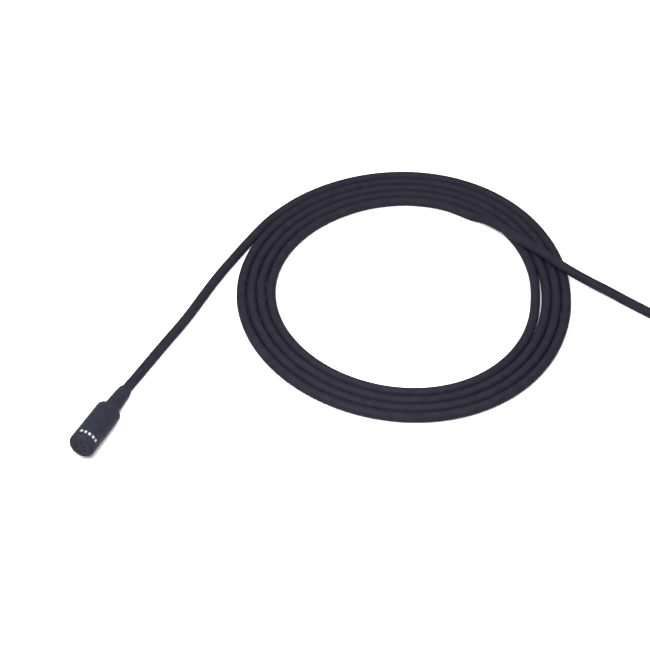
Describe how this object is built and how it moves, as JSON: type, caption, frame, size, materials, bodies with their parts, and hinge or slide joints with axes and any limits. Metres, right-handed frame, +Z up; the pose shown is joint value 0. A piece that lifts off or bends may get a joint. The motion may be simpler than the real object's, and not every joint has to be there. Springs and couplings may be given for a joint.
{
  "type": "lavalier microphone",
  "caption": "Miniature clip-on lavalier microphone with a perforated grille cap, thin coiled lead and a locking jack plug.",
  "frame": {"origin": "under the middle of the microphone, on the table it lies on", "axes": "+Z up, +Y along the microphone from the grille towards the cable; the microphone is tipped 10 degrees grille up, resting on its rear shoulder and its rubber sleeve"},
  "size_m": [0.1329, 0.1002, 0.0086],
  "materials": {
    "satin_black": "satin black coating, fine grain",
    "cable_black": "matt black cable jacket",
    "rubber_black": "matt black moulded rubber",
    "plastic_black": "matt black plastic",
    "plastic_white": "matt white plastic",
    "steel": "brushed steel",
    "brass": "machined brass",
    "gold": "gold-plated contact",
    "film": "metallised film",
    "board": "green circuit board",
    "felt": "dark acoustic felt",
    "ink": "pale printed ink",
    "wire_red": "red wire insulation",
    "wire_bare": "bare copper screen wire"
  },
  "bodies": {
    "microphone": {"grille_cap": "satin_black", "index_mark": "ink", "acoustic_mesh": "steel", "felt_disc": "felt", "capsule_can": "steel", "diaphragm_ring": "brass", "diaphragm": "film", "diaphragm_spacer": "plastic_white", "backplate": "brass", "backplate_holder": "plastic_white", "gate_contact": "gold", "amplifier_chip": "plastic_black", "capsule_board": "board", "solder_pad_signal": "steel", "solder_pad_ground": "steel", "capsule_gasket": "rubber_black", "housing": "satin_black", "capsule_retainer": "plastic_black", "signal_wire": "wire_red", "ground_wire": "wire_bare", "cable_stub": "cable_black", "crimp_ferrule": "brass", "strain_sleeve": "rubber_black", "cable_lead": "cable_black", "cable_coil": "cable_black", "cable_tail": "cable_black", "spare_coil": "cable_black", "cable_end": "cable_black", "plug_tip": "gold", "tip_insulator": "plastic_black", "plug_ring": "gold", "ring_insulator": "plastic_black", "plug_barrel": "steel", "backshell": "satin_black", "cable_clamp": "brass", "plug_boot": "rubber_black", "plug_cable_stub": "cable_black", "plug_signal_wire": "wire_red", "plug_ground_wire": "wire_bare"},
    "lock_ring": {"lock_ring": "satin_black"}
  },
  "joints": [
    {"name": "lock_ring_spin", "type": "hinge", "parent": "microphone", "child": "lock_ring", "pos_m": [0.126, 0.0068, 0.0043], "axis": [0, 1, 0], "continuous": true}
  ]
}
